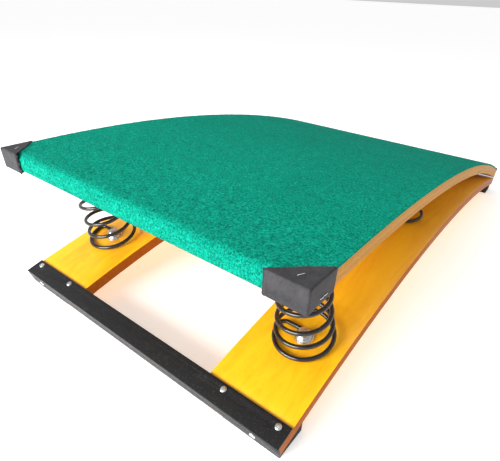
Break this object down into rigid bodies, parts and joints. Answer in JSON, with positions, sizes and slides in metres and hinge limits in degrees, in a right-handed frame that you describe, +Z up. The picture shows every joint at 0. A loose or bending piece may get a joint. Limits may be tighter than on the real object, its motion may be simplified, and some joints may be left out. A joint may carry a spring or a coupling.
{
  "type": "gymnastics springboard",
  "caption": "Sprung gymnastics take-off board: curved carpeted deck on coil springs over an arched wooden base, joined at the tail.",
  "frame": {"origin": "on the floor, under the middle of the whole board", "axes": "+Z up, -Y towards the raised nose, +Y towards the low tail, X across the board"},
  "size_m": [0.6054, 1.2256, 0.2732],
  "materials": {
    "yellow_lacquer_ply": "glossy clear lacquer over yellow stain, brown ply edges",
    "black_paint_steel": "speckled satin black paint",
    "zinc": "bright zinc plate",
    "foot_rubber": "matt black rubber",
    "spring_black": "gloss black enamel",
    "bare_ply": "clear-varnished plywood edges",
    "green_carpet": "short cut-pile needle carpet",
    "cap_leathercloth": "grained black leathercloth",
    "staple_steel": "bright steel",
    "edge_strip": "matt black strip"
  },
  "bodies": {
    "base": {"base_panel": "yellow_lacquer_ply", "front_crossbar": "black_paint_steel", "crossbar_top_screws": "zinc", "crossbar_front_screws": "zinc", "front_foot_left": "foot_rubber", "front_foot_right": "foot_rubber", "tail_foot_left": "foot_rubber", "tail_foot_right": "foot_rubber", "foot_screws": "zinc", "lower_spring_cups": "zinc", "lower_spring_bolts": "zinc", "lower_spring_nuts": "zinc", "spring_front_left": "spring_black", "spring_front_right": "spring_black", "spring_rear_left": "spring_black", "spring_rear_right": "spring_black"},
    "deck": {"deck_board": "bare_ply", "deck_lower_laminate": "bare_ply", "tail_doubler": "bare_ply", "deck_carpet": "green_carpet", "corner_cap_left": "cap_leathercloth", "corner_cap_right": "cap_leathercloth", "cap_staples": "staple_steel", "tail_edge_strip": "edge_strip", "tail_strip_nails": "staple_steel", "upper_spring_cups": "zinc", "upper_spring_bolts": "zinc", "upper_spring_nuts": "zinc", "tail_bolts": "zinc", "tail_washers": "zinc", "tail_nuts": "zinc"}
  },
  "joints": [
    {"name": "deck_flex", "type": "hinge", "parent": "base", "child": "deck", "pos_m": [0, 0.60984, 0.0392], "axis": [1, 0, 0], "range_deg": [0, 3.5], "stiffness_Nm_per_rad": 24000, "springref_deg": -0.23, "deforming": ["spring_front_left", "spring_front_right", "spring_rear_left", "spring_rear_right"]}
  ]
}
